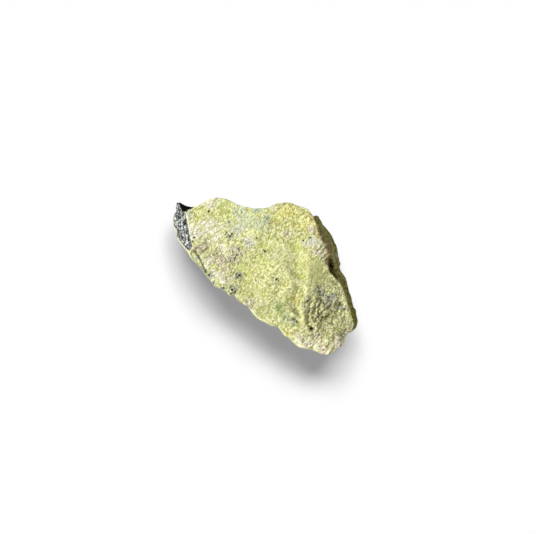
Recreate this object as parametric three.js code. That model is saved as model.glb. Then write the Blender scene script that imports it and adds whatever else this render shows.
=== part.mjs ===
// A lump of raw serpentine, broken from the rock as one piece.
//
// Millimetres, +Z up. The lump lies on its one flat face, at z = 0. X runs along its length, from the dark
// pointed heel (-X) to the blunt nose (+X), and the origin is at the middle of its footprint.
//
// The solid is a field: negative inside the stone, zero on its skin, positive outside. The vertices of a
// sphere are moved along their rays from the stone's heart until they meet that skin.
import * as THREE from "three";
import { ImprovedNoise } from "three/addons/math/ImprovedNoise.js";
import { mergeVertices } from "three/addons/utils/BufferGeometryUtils.js";

// ---- driving dimensions ----
const LENGTH = 66; // along X
const WIDTH = 36; // along Y
const THICKNESS = 22; // along Z
const SPHERE_DETAIL = 19; // 20 * (detail + 1)^2 triangles
const EVENING_PASSES = 6; // rounds that even out the sizes of the triangles
const CORNER_WEAR = 0.2; // how far a last round, off the skin, wears down the corners that are left
const EDGE_WEAR = 0.7; // rounding where two broken faces meet

// The outline seen from above, from the dark tip round by the peak to the nose and back.
const OUTLINE = [
  [-33.2, -4.5],
  [-31.2, -3.9],
  [-29.0, -2.9],
  [-27.4, -0.6],
  [-26.5, 1.8],
  [-24.5, 4.4],
  [-21.0, 5.8],
  [-17.5, 6.6],
  [-14.0, 7.9],
  [-11.0, 10.2],
  [-9.5, 12.4],
  [-7.5, 15.2],
  [-4.0, 16.8],
  [-0.5, 17.7],
  [1.7, 17.3],
  [3.5, 17.9],
  [6.0, 16.9],
  [9.0, 16.1],
  [12.0, 14.7],
  [15.5, 11.8],
  [17.8, 9.6],
  [21.0, 8.0],
  [23.5, 6.2],
  [26.2, 4.2],
  [28.7, 2.4],
  [30.0, 1.9],
  [32.3, -0.4],
  [32.8, -2.4],
  [31.9, -6.1],
  [32.7, -8.7],
  [31.7, -12.4],
  [29.3, -14.8],
  [25.3, -15.9],
  [22.0, -17.2],
  [18.2, -16.9],
  [14.0, -16.2],
  [10.0, -17.3],
  [6.5, -17.9],
  [3.0, -16.9],
  [-1.5, -16.5],
  [-3.7, -17.4],
  [-9.0, -17.8],
  [-13.0, -16.9],
  [-17.5, -15.9],
  [-22.0, -14.8],
  [-26.0, -13.6],
  [-29.0, -11.5],
  [-31.3, -9.4],
  [-32.4, -7.0],
];
const OUTLINE_STEPS = 300;

// The girdle is where the lump is widest. It wanders up and down, and is lower on the peak's side.
const GIRDLE = { height: 12.5, fallPerY: 0.17, wander: 7, size: 15 };
const OVERHANG = 0.12; // how far the wall below the girdle draws in, per mm of depth
const SHOULDER = 0.03; // how far the wall above it draws in, per mm of height
const DARK_SIDE = { start: 3, end: 20, blend: 4, shoulder: 0.25 }; // behind the peak it draws in more

// The dark band that cuts the top edge off at the heel: a point on it and the way that it faces.
const DARK_BAND = { at: [-26, -9.4, 17.6], facing: [-0.6, -0.52, 0.61] };

// Broken faces round the sides. Each one meets the outline at a height of its own. It leans in below that
// height if it faces down, and above it if it faces up.
const BREAKS = {
  frontRim: { from: 17, facing: [0.03, -0.9, 0.43] },
  frontNoseRim: { from: 15.5, facing: [0.5, -0.75, 0.4] },
  noseRim: { from: 15.5, facing: [0.92, 0.05, 0.36] },
  backHeelRim: { from: 14, facing: [-0.7, 0.6, 0.36] },
  heel: { from: 12.5, facing: [-0.8, -0.1, -0.6] },
  heelBack: { from: 11, facing: [-0.55, 0.6, -0.58] },
  frontHeel: { from: 12, facing: [-0.4, -0.75, -0.52] },
  front: { from: 11, facing: [-0.06, -0.9, -0.42] },
  frontNose: { from: 13, facing: [0.3, -0.8, -0.52] },
  nose: { from: 12, facing: [0.85, -0.1, -0.52] },
  noseBack: { from: 9, facing: [0.62, 0.55, -0.56] },
  darkSide: { from: 9, facing: [0.5, 0.78, -0.36] },
  peak: { from: 12, facing: [-0.1, 0.88, -0.46] },
  backHeel: { from: 12, facing: [-0.5, 0.72, -0.48] },
};

// The top is one broad break, with a hollow broken out of it towards the nose.
const TOP = {
  height: 20.6,
  risePerX: 0.045,
  risePerY: -0.01,
  heelStart: -8, // from here to the dark end the top falls away
  heelFall: 0.1,
};
const HOLLOW = {
  ridge: { at: [7, 8.7], along: [7.5, -9.2], fall: 0.36 }, // the crisp ridge on the peak's side
  sill: { at: [16.5, -7.5], along: [9.5, -6.2], fall: 0.42 }, // the blunter one towards the front
  nose: { height: 18.6, start: 27, fall: 0.05 }, // past the hollow the nose stands up again
  ridgeWear: 0.5,
  floorWear: 0.8,
};
const CAVITY = { at: [15.6, 8.9, 17.4], radius: 1.5, wear: 0.4 };

// Roughness of the breaks, in layers: how deep and how broad the bumps are, and where each pattern starts.
const RELIEF = [
  { amplitude: 0.4, size: 14, start: [0, 0, 0] },
  { amplitude: 0.7, size: 7, start: [17, -9, 5] },
  { amplitude: 0.35, size: 3, start: [34, -18, 10] },
];
const RELIEF_DEPTH = 0.3; // how far it sinks the skin as a whole

const HEART = new THREE.Vector3(0, 0, 10.5); // every part of the skin can be seen from here
const REACH = 40; // further from the heart than any part of the skin
const BISECTIONS = 24;

// ---- helpers ----
const noise = new ImprovedNoise();

// The greater of two fields, rounded where they cross.
function smoothMax(a, b, radius) {
  const h = Math.max(radius - Math.abs(a - b), 0) / radius;
  return Math.max(a, b) + (h * h * radius) / 4;
}

function smoothMin(a, b, radius) {
  return -smoothMax(-a, -b, radius);
}

function relief(p) {
  return RELIEF.reduce(
    (sum, { amplitude, size, start: [x, y, z] }) =>
      sum + amplitude * noise.noise(p.x / size + x, p.y / size + y, p.z / size + z),
    RELIEF_DEPTH,
  );
}

// ---- the outline ----
const outline = new THREE.CatmullRomCurve3(
  OUTLINE.map(([x, y]) => new THREE.Vector3(x, y, 0)),
  true,
  "centripetal",
).getSpacedPoints(OUTLINE_STEPS);

// Distance from a point to the outline, seen from above: negative inside.
function outlineField(x, y) {
  let nearest = Infinity;
  let inside = false;
  for (let i = 0; i < OUTLINE_STEPS; i++) {
    const a = outline[i];
    const b = outline[i + 1];
    const ex = b.x - a.x;
    const ey = b.y - a.y;
    const t = THREE.MathUtils.clamp(((x - a.x) * ex + (y - a.y) * ey) / (ex * ex + ey * ey), 0, 1);
    nearest = Math.min(nearest, Math.hypot(x - a.x - t * ex, y - a.y - t * ey));
    if (a.y > y !== b.y > y && x < a.x + (ex * (y - a.y)) / ey) inside = !inside;
  }
  return inside ? -nearest : nearest;
}

// ---- the walls ----
// How much of a point lies on the dark side, from 0 to 1.
function darkness({ x, y }) {
  const { start, end, blend } = DARK_SIDE;
  const { smoothstep } = THREE.MathUtils;
  return y > 0 ? smoothstep(x, start, start + blend) * (1 - smoothstep(x, end - blend, end)) : 0;
}

function girdleHeight({ x, y }) {
  const { height, fallPerY, wander, size } = GIRDLE;
  return height - fallPerY * y + wander * noise.noise(x / size, y / size, 0);
}

function wallField(p) {
  const above = p.z - girdleHeight(p);
  const shoulder = THREE.MathUtils.lerp(SHOULDER, DARK_SIDE.shoulder, darkness(p));
  return outlineField(p.x, p.y) + (above > 0 ? shoulder * above : -OVERHANG * above);
}

// The plane that touches the outline, held at the given height, at its furthest point in the way it faces.
function sideBreak({ from, facing }) {
  const normal = new THREE.Vector3(...facing).normalize();
  const furthest = Math.max(...outline.map((point) => point.dot(normal)));
  return new THREE.Plane(normal, -furthest - from * normal.z);
}

const darkBand = new THREE.Plane().setFromNormalAndCoplanarPoint(
  new THREE.Vector3(...DARK_BAND.facing).normalize(),
  new THREE.Vector3(...DARK_BAND.at),
);
const breaks = [darkBand, ...Object.values(BREAKS).map(sideBreak)];

// ---- the top ----
// Distance of a point to the left of a line, seen from above and looking along the line.
function leftOf({ at, along }, x, y) {
  return ((y - at[1]) * along[0] - (x - at[0]) * along[1]) / Math.hypot(...along);
}

function topHeight(x, y) {
  const breadth = TOP.height + TOP.risePerX * x + TOP.risePerY * y;
  const main = breadth - TOP.heelFall * Math.max(0, TOP.heelStart - x);
  const belowRidge = breadth - HOLLOW.ridge.fall * leftOf(HOLLOW.ridge, x, y);
  const belowSill = breadth - HOLLOW.sill.fall * leftOf(HOLLOW.sill, x, y);
  const nose = HOLLOW.nose.height - HOLLOW.nose.fall * (x - HOLLOW.nose.start);
  const hollow = smoothMax(smoothMax(belowRidge, belowSill, HOLLOW.floorWear), nose, HOLLOW.floorWear);
  return smoothMin(main, hollow, HOLLOW.ridgeWear);
}

// ---- the whole stone ----
const cavityCentre = new THREE.Vector3(...CAVITY.at);

function stoneField(p) {
  let field = smoothMax(wallField(p), p.z - topHeight(p.x, p.y), EDGE_WEAR);
  for (const plane of breaks) field = smoothMax(field, plane.distanceToPoint(p), EDGE_WEAR);
  field += relief(p);
  field = smoothMax(field, CAVITY.radius - cavityCentre.distanceTo(p), CAVITY.wear);
  return Math.max(field, -p.z); // the flat face that it lies on
}

// Moves a point along its ray from the heart onto the skin.
function toSkin(point) {
  const ray = point.sub(HEART).normalize().clone();
  let inside = 0;
  let outside = REACH;
  for (let i = 0; i < BISECTIONS; i++) {
    const middle = (inside + outside) / 2;
    if (stoneField(point.copy(HEART).addScaledVector(ray, middle)) < 0) inside = middle;
    else outside = middle;
  }
  return point.copy(HEART).addScaledVector(ray, inside);
}

// A unit sphere of shared vertices, and which vertices are next to which.
function sphere() {
  const geometry = new THREE.IcosahedronGeometry(1, SPHERE_DETAIL);
  geometry.deleteAttribute("normal");
  geometry.deleteAttribute("uv");
  return mergeVertices(geometry);
}

function neighboursOf(geometry) {
  const neighbours = Array.from({ length: geometry.getAttribute("position").count }, () => new Set());
  const { array } = geometry.getIndex();
  for (let i = 0; i < array.length; i += 3) {
    const triangle = array.slice(i, i + 3);
    triangle.forEach((a) => triangle.forEach((b) => a !== b && neighbours[a].add(b)));
  }
  return neighbours;
}

// The middle of each vertex's neighbours.
function middles(points, neighbours) {
  return neighbours.map((around) => {
    const middle = new THREE.Vector3();
    for (const j of around) middle.addScaledVector(points[j], 1 / around.size);
    return middle;
  });
}

// Brings the lump to exactly its driving dimensions, with the origin below its middle.
function fitToSize(geometry) {
  geometry.computeBoundingBox();
  const { min, max } = geometry.boundingBox;
  geometry.translate(-(min.x + max.x) / 2, -(min.y + max.y) / 2, -min.z);
  geometry.scale(LENGTH / (max.x - min.x), WIDTH / (max.y - min.y), THICKNESS / (max.z - min.z));
}

function stoneGeometry() {
  const geometry = sphere();
  const position = geometry.getAttribute("position");
  const neighbours = neighboursOf(geometry);
  const size = new THREE.Vector3(LENGTH, WIDTH, THICKNESS).multiplyScalar(0.5);
  let points = neighbours.map((_, i) =>
    toSkin(new THREE.Vector3().fromBufferAttribute(position, i).multiply(size).add(HEART)),
  );
  for (let pass = 0; pass < EVENING_PASSES; pass++) points = middles(points, neighbours).map(toSkin);
  middles(points, neighbours).forEach((middle, i) => {
    const { x, y, z } = middle.lerp(points[i], 1 - CORNER_WEAR);
    position.setXYZ(i, x, y, z);
  });
  fitToSize(geometry);
  geometry.computeVertexNormals();
  return geometry;
}

function serpentine() {
  return new THREE.MeshStandardMaterial({ color: 0xced095, roughness: 0.75, metalness: 0 });
}

const lump = new THREE.Group();
const stone = new THREE.Mesh(stoneGeometry(), serpentine());
stone.name = "stone";
lump.add(stone);

export default lump;
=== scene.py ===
import math
from functools import partial

import bpy
import numpy as np
from mathutils import Euler, Matrix, Vector, noise


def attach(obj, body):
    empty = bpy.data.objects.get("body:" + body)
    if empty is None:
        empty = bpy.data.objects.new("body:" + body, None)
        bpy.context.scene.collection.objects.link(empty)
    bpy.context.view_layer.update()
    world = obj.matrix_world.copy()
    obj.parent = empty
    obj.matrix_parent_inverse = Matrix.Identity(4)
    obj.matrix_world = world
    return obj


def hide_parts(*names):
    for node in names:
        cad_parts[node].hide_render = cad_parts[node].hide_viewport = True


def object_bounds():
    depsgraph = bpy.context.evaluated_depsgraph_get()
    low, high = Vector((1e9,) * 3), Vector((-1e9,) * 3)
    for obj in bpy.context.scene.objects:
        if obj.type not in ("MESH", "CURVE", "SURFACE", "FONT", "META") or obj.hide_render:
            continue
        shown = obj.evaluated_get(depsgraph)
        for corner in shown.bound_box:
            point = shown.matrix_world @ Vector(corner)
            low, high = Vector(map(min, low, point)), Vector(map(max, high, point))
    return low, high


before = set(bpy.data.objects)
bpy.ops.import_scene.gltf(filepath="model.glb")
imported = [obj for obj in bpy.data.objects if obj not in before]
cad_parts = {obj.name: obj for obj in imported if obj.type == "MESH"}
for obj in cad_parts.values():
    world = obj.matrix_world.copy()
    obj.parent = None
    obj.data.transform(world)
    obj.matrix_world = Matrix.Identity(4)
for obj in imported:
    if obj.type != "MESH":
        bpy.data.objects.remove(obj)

bl_info = {
    "name": "Raw serpentine",
    "version": (1, 0, 0),
    "blender": (4, 5, 0),
    "location": "View3D > Sidebar > Stone",
    "description": "Carves, colours and lights a rough lump of green serpentine",
    "category": "Add Mesh",
}

MM = 0.001
STONE_NODE = "stone"
PIECE = "rough_stone"
PACKED_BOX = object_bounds()
BODY_HEIGHT = PACKED_BOX[1].z / MM

# ---------------------------------------------------------------- the stone's own map
# Every place on the stone is in millimetres, seen from above: x along it, y across it.

# Where the broken top turns down into the steep side that leans away, heel to nose.
STEEP_EDGE = ((1, 18.4), (2.4, 16.5), (4.7, 15.4), (6.3, 14.6), (8.7, 13.3), (10.3, 12.8),
              (12.2, 11.5), (13.5, 10.4), (13.7, 9.1), (14.7, 7.6), (16.6, 6.3), (18.4, 6.2),
              (20.2, 6.1), (22, 5.3), (24, 4.1), (26, 2.4), (28.3, 0.8), (29.8, -0.3),
              (31.3, -1.5), (32.3, -3.4), (34.5, -5))

# Where the pale body ends and the dark vein begins, round the heel.
VEIN_EDGE = ((-27.5, 9), (-28.6, -2.6), (-29.6, -4.8), (-29, -6.1), (-27.7, -7),
             (-26.1, -8.5), (-24.2, -10.2), (-22.3, -11.6), (-21.1, -12.7), (-19.7, -13),
             (-18.4, -13.5), (-16.6, -14.4), (-14.7, -15.5), (-12.8, -16.6), (-11.2, -18.2))

# Where the dark vein ends again, below on the front of the heel.
RIM_EDGE = ((-33.5, -9), (-30.6, -10.3), (-29.2, -10.8), (-27.8, -11.4), (-26.4, -11.9),
            (-25, -12.5), (-23.4, -13), (-21.5, -13.4), (-20, -13.6), (-18.7, -14.1),
            (-16.9, -14.9), (-15, -16.1), (-13.1, -17.2), (-11.5, -18.8))

# The crest that runs from the peak down to the nose.
CREST = ((3, 14.5), (6.3, 8.7), (9.8, 3.9), (12.2, 1.2), (13.9, -1.5), (14.5, -3.5),
         (15.1, -5.8), (16.8, -8.6), (19.6, -11))

# The crevice just over the brink of the steep side, with painted shade in it.
CREVICE = ((14.4, 9.5), (14.9, 8.7), (15.2, 8.2), (16.7, 7), (18.5, 6.5), (20.6, 6),
           (22.4, 5.1), (24.2, 3.8))

# The stone's widest line, all the way round.
GIRDLE = (
    (-33.8, -4.6), (-32.9, -3.9), (-31.5, -3.9), (-30.4, -3.4), (-29.1, -2.8), (-28.3, -1.8),
    (-27.7, -0.5), (-27.1, 0.7), (-26.7, 1.9), (-25.8, 3), (-24.6, 4.3), (-23, 5.1),
    (-21, 5.7), (-19.3, 5.9), (-17.6, 6.4), (-16.1, 7), (-14, 7.9), (-12.5, 9.1),
    (-11.1, 10.1), (-10.3, 11.2), (-9.7, 12.5), (-8.9, 13.8), (-7.5, 15.2), (-6, 16.2),
    (-4, 16.8), (-2, 17.4), (-0.5, 17.7), (0.5, 17.6), (2.2, 17.2), (3, 18), (4.1, 18),
    (5.4, 17.6), (6.1, 17.1), (7.6, 17), (9.2, 16.5), (10.7, 16.1), (12.3, 15.2), (13.5, 14.6),
    (14.7, 13.6), (16, 12.3), (17.7, 11.1), (18.1, 9.9), (19.7, 8.8), (21.2, 8.4), (22.6, 7.6),
    (23.6, 6.4), (25.1, 5.2), (26.4, 4.5), (27.6, 3.4), (28.7, 2.4), (29.9, 2.2), (31.2, 1),
    (32.5, -0.3), (33.3, -1.8), (33.1, -3.5), (32.3, -5), (32, -6.3), (32.6, -7.7),
    (32.8, -8.8), (32.4, -10), (32.1, -11.5), (31.7, -12.8), (30.9, -14.1), (29.4, -15),
    (28, -15.3), (26.6, -15.6), (25.4, -16.1), (24.1, -16.9), (22.8, -17.4), (21, -17.5),
    (19.5, -17.2), (18.7, -17), (17, -17.3), (15.5, -16.8), (14, -16.3), (12.9, -16.8),
    (11.6, -17.4), (9.5, -17.6), (8, -18.1), (6, -17.9), (4.4, -17.5), (3.2, -17),
    (2, -17), (0.5, -17.2), (-1.5, -17), (-3, -17), (-3.7, -17.6), (-5, -17.2),
    (-7, -17.4), (-9, -18), (-11, -17.4), (-12.5, -17), (-14, -16.8), (-16, -16.1),
    (-18, -15.8), (-20, -15.6), (-22, -14.8), (-24, -14.2), (-26.2, -13.8), (-27.8, -13),
    (-29, -11.6), (-30.5, -10.7), (-31.6, -9.7), (-32.3, -8.1), (-32.4, -6.9), (-33.2, -5.9))

# The inner edge of the notch under the heel's point, which is painted near black as shade.
NOTCH_EDGE = ((-33.3, -3.9), (-32.5, -4.25), (-31.6, -4.75), (-30.8, -5.3), (-30.2, -5.2),
              (-29.9, -4.6), (-29.3, -3.7), (-28.7, -3))

# The line the girdle is measured from, heel to nose, and the length of the loop round it, with
# its two ends.
SPINE = ((-22, -7), (22, -5))
SPINE_LENGTH = float(np.hypot(*np.subtract(SPINE[1], SPINE[0])))
CAP_LENGTH = 40.0
LOOP_LENGTH = 2 * (SPINE_LENGTH + CAP_LENGTH)
# How the girdle is fitted: steps along each of its edges, mm to a bin of the loop, shares of the
# way out, heights in mm from the widest line, and how far a point may move.
GIRDLE_STEPS = 8
BIN_LENGTH = 0.5
OUTER_SHARE = 0.72
FULL_SHARE = 0.95
EDGE_SHARE = 0.985
FOLLOW_HEIGHT = (-7.5, -1.5)
SQUARING = 0.75
STRETCH_LIMITS = (0.85, 1.2)
# How far a broken facet tilts for each cell across.
FACET_TILT = 2.2


def ease(values, low, high):
    """A soft step: 0 below low, 1 above high. Lengths are in mm; a face's way up goes from -1 to 1."""
    t = np.clip((values - low) / (high - low), 0.0, 1.0)
    return t * t * (3.0 - 2.0 * t)


def between(values, begins, full, fades, gone):
    """A soft stretch: 1 from full to where it fades, 0 before it begins and after it is gone."""
    return ease(values, begins, full) * (1.0 - ease(values, fades, gone))


def beside(points, line):
    """Plan distance of each point from a line, positive on the left of the way it runs."""
    nearest = np.full(len(points), 1e9)
    signed = np.zeros(len(points))
    for start, end in zip(line[:-1], line[1:]):
        along = np.subtract(end, start)
        gap = points[:, :2] - start
        t = np.clip(gap @ along / (along @ along), 0.0, 1.0)
        off = gap - t[:, None] * along
        distance = np.hypot(off[:, 0], off[:, 1])
        left = along[0] * gap[:, 1] - along[1] * gap[:, 0]
        closer = distance < nearest
        nearest = np.where(closer, distance, nearest)
        signed = np.where(closer, np.where(left > 0, distance, -distance), signed)
    return signed


def spot(points, x, y, reach, stretch=1.0, turn=0.0, core=0.0):
    """Weight of a soft round or oval spot: 1 out to its core, 0 past its reach."""
    angle = math.radians(turn)
    dx, dy = points[:, 0] - x, points[:, 1] - y
    along = dx * math.cos(angle) + dy * math.sin(angle)
    across = dy * math.cos(angle) - dx * math.sin(angle)
    return ease(1.0 - np.hypot(along / stretch, across) / reach, 0.0, 1.0 - core)


def strongest_spot(points, spots, core=0.0, wider=1.0):
    """The strongest of a list of round spots at each point: where, reach, strength."""
    strongest = np.zeros(len(points))
    for x, y, reach, strength in spots:
        strongest = np.maximum(strongest, strength * spot(points, x, y, reach * wider, core=core))
    return strongest


def wobble(points, size):
    """A smooth random value from -1 to 1 at each point, as wide as size."""
    return np.array([noise.noise(Vector(p)) for p in points / size])


def scatter(cells, seed):
    """A random value from 0 to 1 for each whole-number cell, the same every time."""
    x, y, z = (cells[:, axis].astype(np.int64) for axis in range(3))
    mixed = (x * 73856093) ^ (y * 19349663) ^ (z * 83492791) ^ (seed * 2654435761)
    mixed &= 0xFFFFFFFF
    for shift, factor in ((16, 0x45D9F3B), (15, 0x119DE1F3)):
        mixed = ((mixed ^ (mixed >> shift)) * factor) & 0xFFFFFFFF
    return (mixed ^ (mixed >> 16)) / 0xFFFFFFFF


def facets(points, size, pull, turn, seed):
    """Height from about -1 to 1 of a skin broken into small flat facets with sharp steps."""
    angle = math.radians(turn)
    across = points[:, 0] * math.cos(angle) + points[:, 1] * math.sin(angle)
    along = points[:, 1] * math.cos(angle) - points[:, 0] * math.sin(angle)
    place = np.stack([across, along / pull, points[:, 2]], axis=1) / size
    home = np.floor(place)
    nearest = np.full(len(points), 1e9)
    height = np.zeros(len(points))
    for step in np.ndindex(3, 3, 3):
        cell = home + step - 1.0
        middle = cell + np.stack([scatter(cell, seed + k) for k in range(3)], axis=1)
        gap = place - middle
        distance = np.einsum("ij,ij->i", gap, gap)
        closer = np.nonzero(distance < nearest)[0]
        nearest[closer] = distance[closer]
        tilt = np.stack([scatter(cell[closer], seed + 3 + k) for k in range(3)], axis=1) - 0.5
        level = scatter(cell[closer], seed + 6) - 0.5
        height[closer] = level + FACET_TILT * np.einsum("ij,ij->i", gap[closer], tilt)
    return height


# ---------------------------------------------------------------- outline

def round_spine(points):
    """Each point's place on a loop round the spine, how far out it lies, and its foot on the spine."""
    start, end = np.array(SPINE)
    along = (end - start) / SPINE_LENGTH
    gap = points[:, :2] - start
    t = np.clip(gap @ along, 0.0, SPINE_LENGTH)
    off = gap - t[:, None] * along
    turn = np.degrees(np.arctan2(along[0] * off[:, 1] - along[1] * off[:, 0], off @ along))
    loop = np.where(turn > 0.0, t, SPINE_LENGTH + CAP_LENGTH + SPINE_LENGTH - t)
    at_nose = SPINE_LENGTH + (90.0 - turn) / 180.0 * CAP_LENGTH
    loop = np.where(t >= SPINE_LENGTH, at_nose, loop)
    behind = np.where(turn < 0.0, turn, turn - 360.0)
    at_heel = 2 * SPINE_LENGTH + CAP_LENGTH + (-90.0 - behind) / 180.0 * CAP_LENGTH
    loop = np.where(t <= 0.0, at_heel, loop)
    return loop, np.hypot(off[:, 0], off[:, 1]), start + t[:, None] * along


def drawn_girdle():
    """The girdle as places on the loop round the spine and how far out it lies at each."""
    drawn = []
    for start, end in zip(GIRDLE, GIRDLE[1:] + GIRDLE[:1]):
        for t in np.linspace(0.0, 1.0, GIRDLE_STEPS, endpoint=False):
            drawn.append(np.add(start, t * np.subtract(end, start)))
    loop, reach, _ = round_spine(np.array(drawn))
    order = np.argsort(loop)
    return loop[order], reach[order]


def ring_mean(ring, kernel):
    """A closed ring of values, each evened out with its neighbours."""
    half = len(kernel) // 2
    return np.convolve(np.concatenate([ring[-half:], ring, ring[:half]]), kernel, "valid")


def fit_girdle(points):
    """Draws the stone's widest line in or out to the girdle, carrying the skin near it along."""
    loop, reach, foot = round_spine(points)
    bins = int(LOOP_LENGTH / BIN_LENGTH)
    which = np.clip((loop / LOOP_LENGTH * bins).astype(int), 0, bins - 1)
    middle = (np.arange(bins) + 0.5) * LOOP_LENGTH / bins
    goal = np.interp(loop, *drawn_girdle(), period=LOOP_LENGTH)
    widest = np.zeros(bins)
    np.maximum.at(widest, which, reach)
    widest = np.where(widest > 0.0, widest, np.roll(widest, 1))
    widest = ring_mean(widest, np.array([0.25, 0.5, 0.25]))
    now = np.interp(loop, middle, widest, period=LOOP_LENGTH)
    fraction = reach / now

    # How high each point lies, as a share of the highest near the edge.
    peak = np.zeros(bins)
    outer = reach > OUTER_SHARE * now
    np.maximum.at(peak, which[outer], points[outer, 2])
    peak = ring_mean(peak, np.full(5, 0.2))
    rise = points[:, 2] / np.interp(loop, middle, peak, period=LOOP_LENGTH)

    # The height of the widest line, below which the skin stays where it is.
    edge = reach > EDGE_SHARE * now
    summed = np.bincount(which[edge], points[edge, 2], bins)
    count = np.bincount(which[edge], minlength=bins)
    filled = np.nonzero(count)[0]
    level = np.interp(loop, middle[filled], summed[filled] / count[filled], period=LOOP_LENGTH)
    on_side = ease(beside(points, STEEP_EDGE), -2.0, 0.0) * (points[:, 0] > 1.0)
    window = np.maximum(ease(points[:, 2] - level, *FOLLOW_HEIGHT), on_side)

    # The top's rounded shoulder is squared off first, and then all of it is scaled to the girdle.
    square = ease(fraction, OUTER_SHARE, FULL_SHARE) * ease(rise, 0.5, 0.8)
    square *= 1.0 - on_side
    squared = fraction + SQUARING * square * np.clip(1.0 - fraction, 0.0, 1.0)
    share = ease(squared, 0.45, FULL_SHARE)
    scale = squared / np.maximum(fraction, 1e-6)
    scale *= 1.0 + share * window * (np.clip(goal / now, *STRETCH_LIMITS) - 1.0)
    scale = np.minimum(scale, goal / np.maximum(reach, 1e-6))
    points[:, :2] = foot + (points[:, :2] - foot) * scale[:, None]
    return points


# ---------------------------------------------------------------- relief

# Creases pressed into the skin: from, to, width, depth.
CREASES = (
    ((-3.7, 10), (-1.8, 12.7), 0.5, 0.3),
    ((-1.8, 12.7), (-0.3, 15), 0.5, 0.3),
    ((-0.3, 15), (0.3, 16.6), 0.5, 0.25),
    ((8.2, 11.7), (7.9, 10.6), 0.5, 0.3),
    ((8.4, 8.2), (9.1, 6.9), 0.5, 0.35),
    ((11.9, 7.6), (12.4, 9.4), 0.5, 0.35),
    ((-20.3, -12.3), (-18.7, -9), 1, 0.55),
    ((-18.4, -13), (-17.3, -9.9), 0.7, 0.45),
    ((-14.9, -10.2), (-13.2, -8.4), 0.7, 0.4),
    ((-26.4, -4.4), (-25.4, -3.4), 0.8, 0.35),
    ((-8.7, -10.1), (-8, -9.2), 0.7, 0.5),
    ((-7.3, -8), (-6.6, -6.8), 0.7, 0.45),
    ((15.3, -12.7), (16.1, -11.3), 0.7, 0.5),
    ((16.2, -11.3), (18, -11.5), 0.7, 0.4),
    ((23, -12.6), (23.8, -11.4), 0.7, 0.5),
    ((30.8, -7.2), (31, -4.6), 0.7, 0.5),
    ((13.6, 10.1), (15.4, 8.3), 0.9, 0.7),
    ((15.4, 8.3), (16.9, 7.2), 0.9, 0.7),
    ((16.9, 7.2), (20.5, 6.1), 0.8, 0.5),
)

# Slits between the flakes of the rough end: from, to, width, depth.
SLITS = (
    ((16.3, -5.8), (16.2, -3.1), 0.6, 0.4), ((17.3, -5.4), (16.8, -3.5), 0.6, 0.4),
    ((18.5, -6.7), (19.4, -8.3), 0.6, 0.4), ((19.4, -8.3), (21, -10.2), 0.7, 0.45),
    ((21.2, -8.2), (21.9, -5.7), 0.5, 0.25), ((22.9, -6.9), (23.9, -4.2), 0.5, 0.25),
    ((26, -6), (25.8, -4.3), 0.5, 0.25), ((26.1, -4.1), (27.1, -1.4), 0.5, 0.25),
    ((25.3, -1.6), (24.6, 0.9), 0.5, 0.25), ((24.4, -9.9), (23.9, -7.3), 0.5, 0.25),
    ((31.5, -7.2), (31.6, -5.3), 0.5, 0.3), ((28.9, -13.9), (29.4, -11.8), 0.5, 0.3),
)

# Small pits: where, reach, depth.
PITS = (
    (-6.7, 14.8, 0.5, 0.2), (-4.7, 15.4, 0.5, 0.2), (-3.7, 14.9, 0.5, 0.25),
    (-2.8, 13.9, 0.5, 0.25), (-2.1, 12.9, 0.5, 0.25), (2.9, 13.9, 0.6, 0.3), (5, 13.4, 0.7, 0.4),
    (-9.4, -6, 0.9, 0.35), (-7.9, -3.1, 0.7, 0.3), (-3.5, -9.3, 0.7, 0.3), (-4.3, -3.4, 0.7, 0.3),
    (22.2, -10.5, 1.3, 1.5), (24.9, 0.8, 1, 0.5), (17.5, 0, 0.8, 0.4), (21.7, -9.2, 0.8, 0.5),
    (17.2, -12.6, 0.8, 0.4), (30.9, -13, 0.8, 0.5), (8.4, 13, 0.8, 0.3), (15.5, 8.4, 0.9, 0.8),
)

# Raised places: where, reach, stretch, turn, height.
LUMPS = (
    (18.2, -9.6, 0.9, 2.4, -62, 0.8),
    (6.6, 14.1, 1.1, 1.3, -30, 0.45),
    (12.6, 10.4, 0.9, 1.6, -40, 0.35),
    (2, 15.2, 1.2, 1.6, -35, 0.4),
    (24, -8.6, 1.1, 1.8, 70, 0.4),
    (27.8, -11, 1.8, 1.4, 80, 0.5),
    (30.4, -9, 1.5, 1.5, 80, 0.4),
    (21.5, -3, 1.1, 1.8, 80, 0.4),
    (-27.9, -6.4, 1.2, 1.3, -40, 0.4),
    (-10.2, -5, 1.6, 1.6, 60, 0.3),
)

# Broad swells that level the top out toward its edges: where, reach, stretch, turn, height.
SWELLS = (
    (31, -9.5, 7, 1.2, 80, 1.9),
    (9.3, 11.3, 4.8, 1.2, -50, 1.2),
    (5.5, 14.2, 3, 1.3, -40, 0.5),
    (28, -4, 4.5, 1.3, 90, 0.4),
    (13, -4, 3.4, 1.9, -58, 0.22),
)

# Smooth broken faces, where the grain nearly dies away: where, reach, how much of it goes.
SMOOTH_SPOTS = (
    (8.6, 3.4, 3.2, 0.85), (11.9, 4.3, 4.4, 0.95), (8.4, 6.6, 2.2, 0.7), (14.2, 2.6, 2.4, 0.8),
    (-12.5, 8.3, 3, 0.7), (-8.6, 8.4, 2.2, 0.5), (-12, 3.5, 6, 0.45), (10.5, -11.3, 2, 0.4),
    (13, -12, 1.8, 0.4), (-20, 3, 5, 0.35), (5, 0, 4, 0.3), (3.5, 4.5, 3.5, 0.35),
)

# Rough places, where the grain stands up in flakes.
ROUGH_SPOTS = (
    (21, -5, 9, 1), (29.5, -8.5, 8, 0.65), (22, -14, 6, 0.6),
    (10.5, 9.8, 3.4, 0.5), (-17.5, -10.5, 5.5, 0.6), (-3.5, -16.5, 3.5, 0.6),
    (-2.5, 13.8, 4, 0.2), (17, -11, 5, 0.45), (24, 1, 5, 0.5),
    (-10, -6, 3, 0.4),
)
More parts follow.
